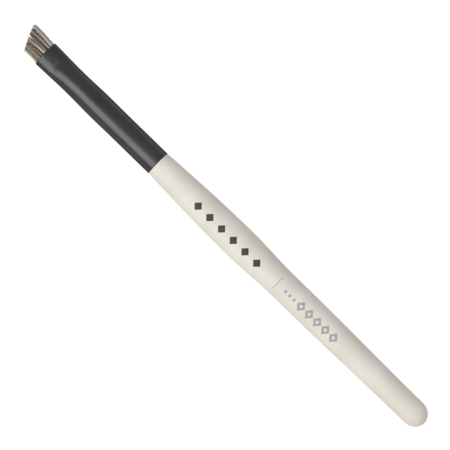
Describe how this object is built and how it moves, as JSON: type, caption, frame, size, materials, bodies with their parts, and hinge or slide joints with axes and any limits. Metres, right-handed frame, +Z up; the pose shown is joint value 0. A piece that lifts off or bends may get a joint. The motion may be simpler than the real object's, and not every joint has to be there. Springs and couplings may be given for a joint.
{
  "type": "slanted detail brush",
  "caption": "Slim brush with a turned wooden handle, a metal ferrule pressed flat at the mouth, and a short stiff tuft trimmed on a slant.",
  "frame": {"origin": "on the table that the brush lies on, under the middle of its overall box", "axes": "+X along the brush's axis towards the tip of the tuft, +Z up, square to the pressed flats of the ferrule, +Y towards the short side of the slanted tuft"},
  "size_m": [0.1599, 0.0098, 0.0098],
  "materials": {
    "handle_lacquer": "off-white lacquer, satin",
    "ferrule_metal": "matte black, anodised",
    "glue": "set adhesive",
    "epoxy": "set epoxy resin",
    "thread": "waxed thread",
    "packed_bristle": "filaments packed close",
    "dark_bristle": "dark brown filament",
    "mid_bristle": "taupe filament",
    "pale_bristle": "cream filament"
  },
  "bodies": {
    "root": {"handle": "handle_lacquer", "ferrule": "ferrule_metal", "tenon_glue": "glue", "epoxy_plug": "epoxy", "binding_thread": "thread", "tuft_core": "packed_bristle", "dark_bristles": "dark_bristle", "mid_bristles": "mid_bristle", "pale_bristles": "pale_bristle"}
  },
  "joints": []
}
